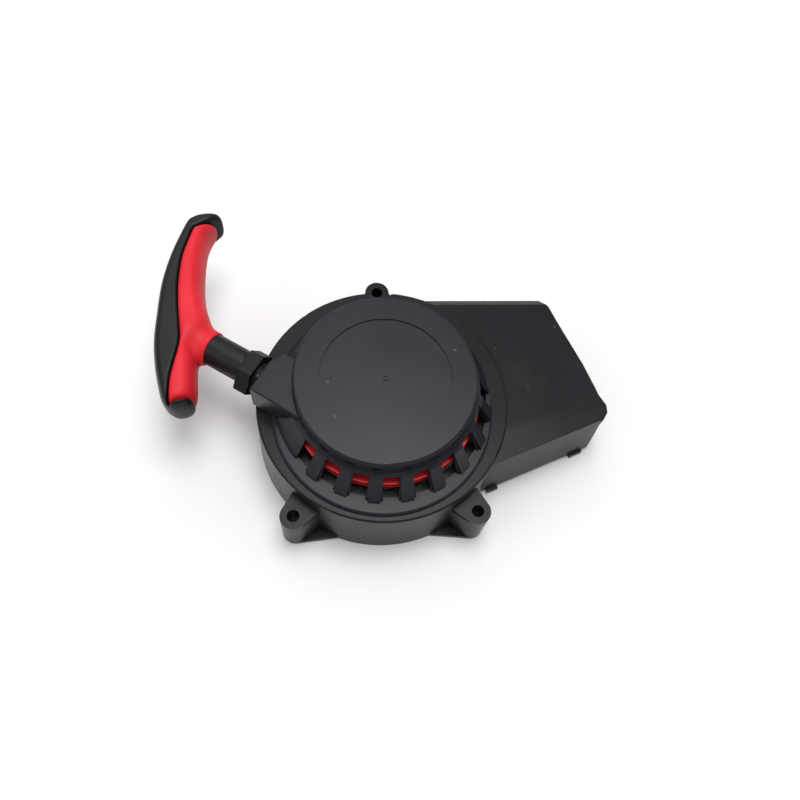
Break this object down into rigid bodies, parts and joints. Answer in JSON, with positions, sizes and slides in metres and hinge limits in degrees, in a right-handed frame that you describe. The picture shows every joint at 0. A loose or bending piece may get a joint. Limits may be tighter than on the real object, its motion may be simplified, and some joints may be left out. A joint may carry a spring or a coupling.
{
  "type": "recoil starter",
  "caption": "Pull-cord recoil starter: round vented cup on a fan shroud with a side duct and screw ears, a sprung rope reel with pawls, and a T-handle with a soft grip.",
  "frame": {"origin": "on the reel axis, in the mounting plane that the shroud's foot rests on", "axes": "+Z along the reel axis out through the cup's face, +Y through the single upper screw ear, +X towards the side duct; the handle is on the -X side"},
  "size_m": [0.2039, 0.1534, 0.0566],
  "materials": {
    "shroud_plastic": "satin black moulded nylon, fine speckle on the duct roof",
    "cover_plastic": "satin blue-black moulded nylon",
    "guide_plastic": "matt black moulded plastic",
    "handle_plastic": "fine-grained black plastic",
    "grip_rubber": "soft matt red overmould",
    "reel_plastic": "smooth red moulded plastic",
    "zinc_steel": "bright zinc plated",
    "polished_steel": "turned and polished",
    "spring_steel": "blued spring steel",
    "pawl_metal": "sintered steel",
    "brass": "turned",
    "rope_braid": "braided nylon cord"
  },
  "bodies": {
    "housing": {"fan_shroud": "shroud_plastic", "starter_cover": "cover_plastic", "cover_screws": "zinc_steel", "rope_guide": "guide_plastic", "rope_eyelet": "polished_steel", "post_insert": "brass", "centre_screw": "zinc_steel", "centre_washer": "zinc_steel", "centre_sleeve": "polished_steel", "friction_spring": "spring_steel", "spring_plate": "zinc_steel", "recoil_spring": "spring_steel"},
    "reel": {"reel": "reel_plastic", "reel_bush": "brass", "rope_coil": "rope_braid", "pawl_pins": "polished_steel", "pawl_clips": "spring_steel", "pawl_springs": "spring_steel"},
    "guide_plate": {"guide_plate": "zinc_steel"},
    "pawl_1": {"pawl_1": "pawl_metal"},
    "pawl_2": {"pawl_2": "pawl_metal"},
    "handle": {"handle_core": "handle_plastic", "handle_grip": "grip_rubber", "rope_lead": "rope_braid", "rope_knot": "rope_braid", "knot_washer": "zinc_steel"}
  },
  "joints": [
    {"name": "handle_pull", "type": "slide", "parent": "housing", "child": "handle", "axis": [-0.848, 0.5299, 0], "range_m": [0, 0.55], "stiffness_N_per_m": 20, "springref_m": -0.4, "deforming": ["rope_lead"]},
    {"name": "reel_spin", "type": "hinge", "parent": "housing", "child": "reel", "pos_m": [0, 0, 0.036], "axis": [0, 0, -1], "range_deg": [0, 1375], "deforming": ["recoil_spring"]},
    {"name": "guide_turn", "type": "hinge", "parent": "reel", "child": "guide_plate", "pos_m": [0, 0, 0.023], "axis": [0, 0, 1], "range_deg": [0, 20], "stiffness_Nm_per_rad": 0.01, "springref_deg": -11.46},
    {"name": "pawl_1_swing", "type": "hinge", "parent": "reel", "child": "pawl_1", "pos_m": [0.014, 0, 0.0296], "axis": [0, 0, 1], "range_deg": [0, 28.5], "deforming": ["pawl_springs"]},
    {"name": "pawl_2_swing", "type": "hinge", "parent": "reel", "child": "pawl_2", "pos_m": [-0.014, 0, 0.0296], "axis": [0, 0, 1], "range_deg": [0, 28.5]}
  ],
  "couplings": [
    {"joint": "reel_spin", "follows": "handle_pull", "rad_per_m": 43.5},
    {"joint": "pawl_1_swing", "follows": "guide_turn", "ratio": 1.4},
    {"joint": "pawl_2_swing", "follows": "guide_turn", "ratio": 1.4}
  ]
}
